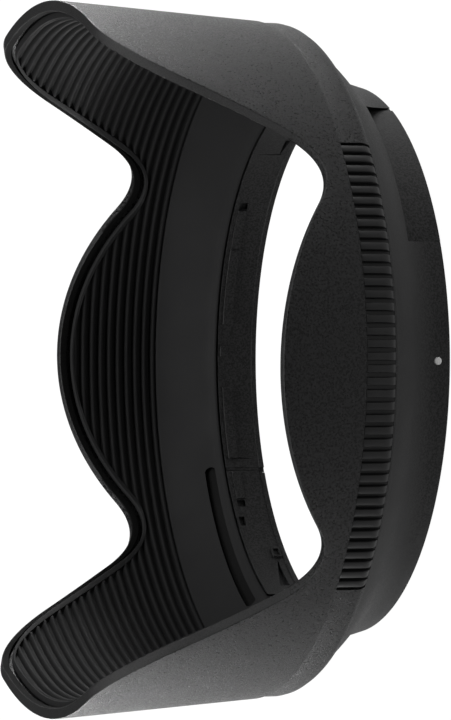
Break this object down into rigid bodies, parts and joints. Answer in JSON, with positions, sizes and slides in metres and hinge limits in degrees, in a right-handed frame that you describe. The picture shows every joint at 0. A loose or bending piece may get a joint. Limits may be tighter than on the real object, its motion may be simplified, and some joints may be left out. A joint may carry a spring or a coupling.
{
  "type": "petal lens hood",
  "caption": "Black petal lens hood with a ribbed inner liner, ribbed side grips, a bayonet mount ring with sprung click tongues and a white index dot.",
  "frame": {"origin": "centre of the flat rear face of the mount ring, on the optical axis", "axes": "+Z along the optical axis towards the front (petals); +X and -X through the two long petals; the index dot faces -Y"},
  "size_m": [0.1002, 0.0976, 0.045],
  "materials": {
    "shell_plastic": "coarse spark-eroded grain, satin black polycarbonate",
    "liner_plastic": "matt black, ribbed against reflections, smooth on the rear cone",
    "ring_plastic": "fine satin black",
    "grip_plastic": "ribbed, semi-gloss black",
    "dot_paint": "white filled paint dot"
  },
  "bodies": {
    "hood": {"hood_shell": "shell_plastic", "baffle_liner": "liner_plastic", "mount_ring": "ring_plastic", "grip_near": "grip_plastic", "grip_far": "grip_plastic", "index_dot": "dot_paint"},
    "tongue_near": {"click_tongue_near": "ring_plastic"},
    "tongue_far": {"click_tongue_far": "ring_plastic"}
  },
  "joints": [
    {"name": "click_near", "type": "slide", "parent": "hood", "child": "tongue_near", "axis": [0.7059, -0.7083, 0], "range_m": [0, 0.00035], "stiffness_N_per_m": 5000},
    {"name": "click_far", "type": "slide", "parent": "hood", "child": "tongue_far", "axis": [-0.7059, 0.7083, 0], "range_m": [0, 0.00035], "stiffness_N_per_m": 5000}
  ]
}
